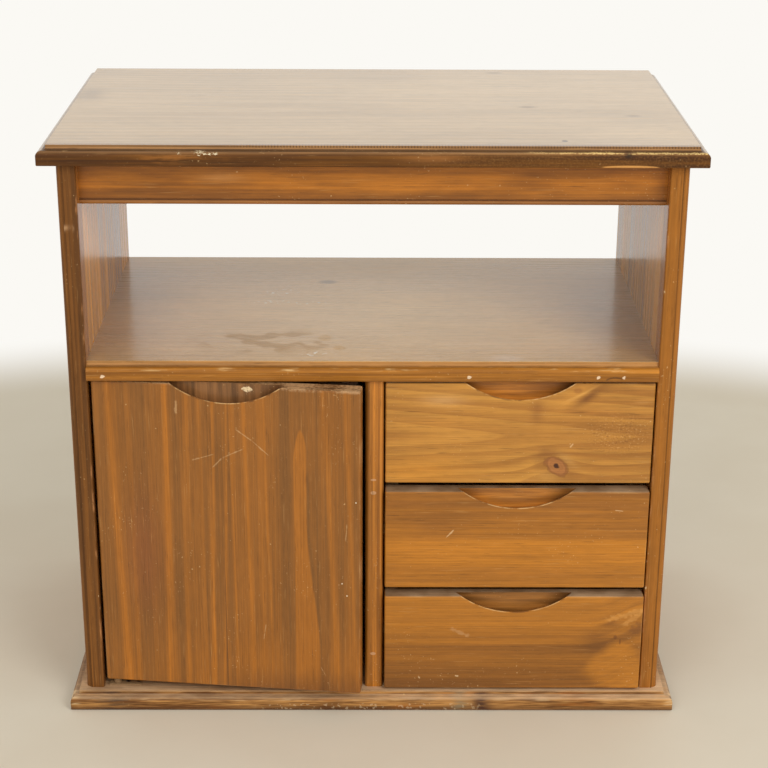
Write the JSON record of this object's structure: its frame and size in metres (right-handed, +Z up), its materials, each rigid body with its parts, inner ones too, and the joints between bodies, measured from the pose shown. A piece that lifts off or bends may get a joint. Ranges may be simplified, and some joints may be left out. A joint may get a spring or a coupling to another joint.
{
  "type": "cabinet with drawers",
  "caption": "Low stained pine cabinet: an open niche over a pivoting door and a stack of sliding drawers, with finger scoops for handles and a moulded top and base.",
  "frame": {"origin": "centre of the base board's underside, on the floor", "axes": "+X to the right seen from the front, +Y from the front to the back, +Z up"},
  "size_m": [0.672, 0.3965, 0.643],
  "materials": {
    "top_pine": "semi-gloss lacquer over stain, worn and dusty",
    "left_side_pine": "semi-gloss lacquer over stain, worn and dusty",
    "right_side_pine": "semi-gloss lacquer over stain, worn and dusty",
    "rail_pine": "semi-gloss lacquer over stain, worn and dusty",
    "shelf_pine": "semi-gloss lacquer over stain, worn and dusty",
    "divider_pine": "semi-gloss lacquer over stain, worn and dusty",
    "base_pine": "semi-gloss lacquer over stain, worn and dusty",
    "door_pine": "semi-gloss lacquer over stain, worn and dusty",
    "drawer_1_pine": "semi-gloss lacquer over stain, worn and dusty",
    "drawer_2_pine": "semi-gloss lacquer over stain, worn and dusty",
    "drawer_3_pine": "semi-gloss lacquer over stain, worn and dusty",
    "plain_pine": "bare planed pine",
    "beech": "bare planed hardwood",
    "hardboard": "smooth pressed board",
    "zinc_steel": "zinc plated",
    "brass": "turned",
    "brown_plastic": "moulded",
    "ferrite": "sintered"
  },
  "bodies": {
    "carcass": {"top_board": "top_pine", "left_side_panel": "left_side_pine", "right_side_panel": "right_side_pine", "front_apron_rail": "rail_pine", "rear_top_rail": "plain_pine", "middle_shelf": "shelf_pine", "centre_divider": "divider_pine", "base_board": "base_pine", "back_panel": "hardboard", "top_dowels": "beech", "shelf_dowels": "beech", "base_dowels": "beech", "divider_dowels": "beech", "rail_dowels": "beech", "back_panel_pins": "zinc_steel", "drawer_1_left_runner": "beech", "drawer_1_right_runner": "beech", "drawer_2_left_runner": "beech", "drawer_2_right_runner": "beech", "drawer_3_left_runner": "beech", "drawer_3_right_runner": "beech", "runner_screws": "zinc_steel", "upper_hinge_plate": "zinc_steel", "lower_hinge_plate": "zinc_steel", "hinge_plate_screws": "zinc_steel", "catch_pole_plates": "zinc_steel", "catch_screws": "zinc_steel", "catch_housing": "brown_plastic", "catch_magnet": "ferrite"},
    "door": {"door_panel": "door_pine", "upper_door_bush": "brass", "lower_door_bush": "brass", "strike_plate": "zinc_steel", "strike_screw": "zinc_steel"},
    "drawer_1": {"drawer_1_front": "drawer_1_pine", "drawer_1_left_side": "plain_pine", "drawer_1_right_side": "plain_pine", "drawer_1_back": "plain_pine", "drawer_1_bottom": "hardboard", "drawer_1_dowels": "beech", "drawer_1_nails": "zinc_steel"},
    "drawer_2": {"drawer_2_front": "drawer_2_pine", "drawer_2_left_side": "plain_pine", "drawer_2_right_side": "plain_pine", "drawer_2_back": "plain_pine", "drawer_2_bottom": "hardboard", "drawer_2_dowels": "beech", "drawer_2_nails": "zinc_steel"},
    "drawer_3": {"drawer_3_front": "drawer_3_pine", "drawer_3_left_side": "plain_pine", "drawer_3_right_side": "plain_pine", "drawer_3_back": "plain_pine", "drawer_3_bottom": "hardboard", "drawer_3_dowels": "beech", "drawer_3_nails": "zinc_steel"}
  },
  "joints": [
    {"name": "door_hinge", "type": "hinge", "parent": "carcass", "child": "door", "pos_m": [-0.286, -0.165, 0.208], "axis": [0, 0, -1], "range_deg": [-6.4, 93.6]},
    {"name": "drawer_1_slide", "type": "slide", "parent": "carcass", "child": "drawer_1", "axis": [0, -1, 0], "range_m": [0, 0.24]},
    {"name": "drawer_2_slide", "type": "slide", "parent": "carcass", "child": "drawer_2", "axis": [0, -1, 0], "range_m": [-0.004, 0.236]},
    {"name": "drawer_3_slide", "type": "slide", "parent": "carcass", "child": "drawer_3", "axis": [0, -1, 0], "range_m": [-0.008, 0.232]}
  ]
}
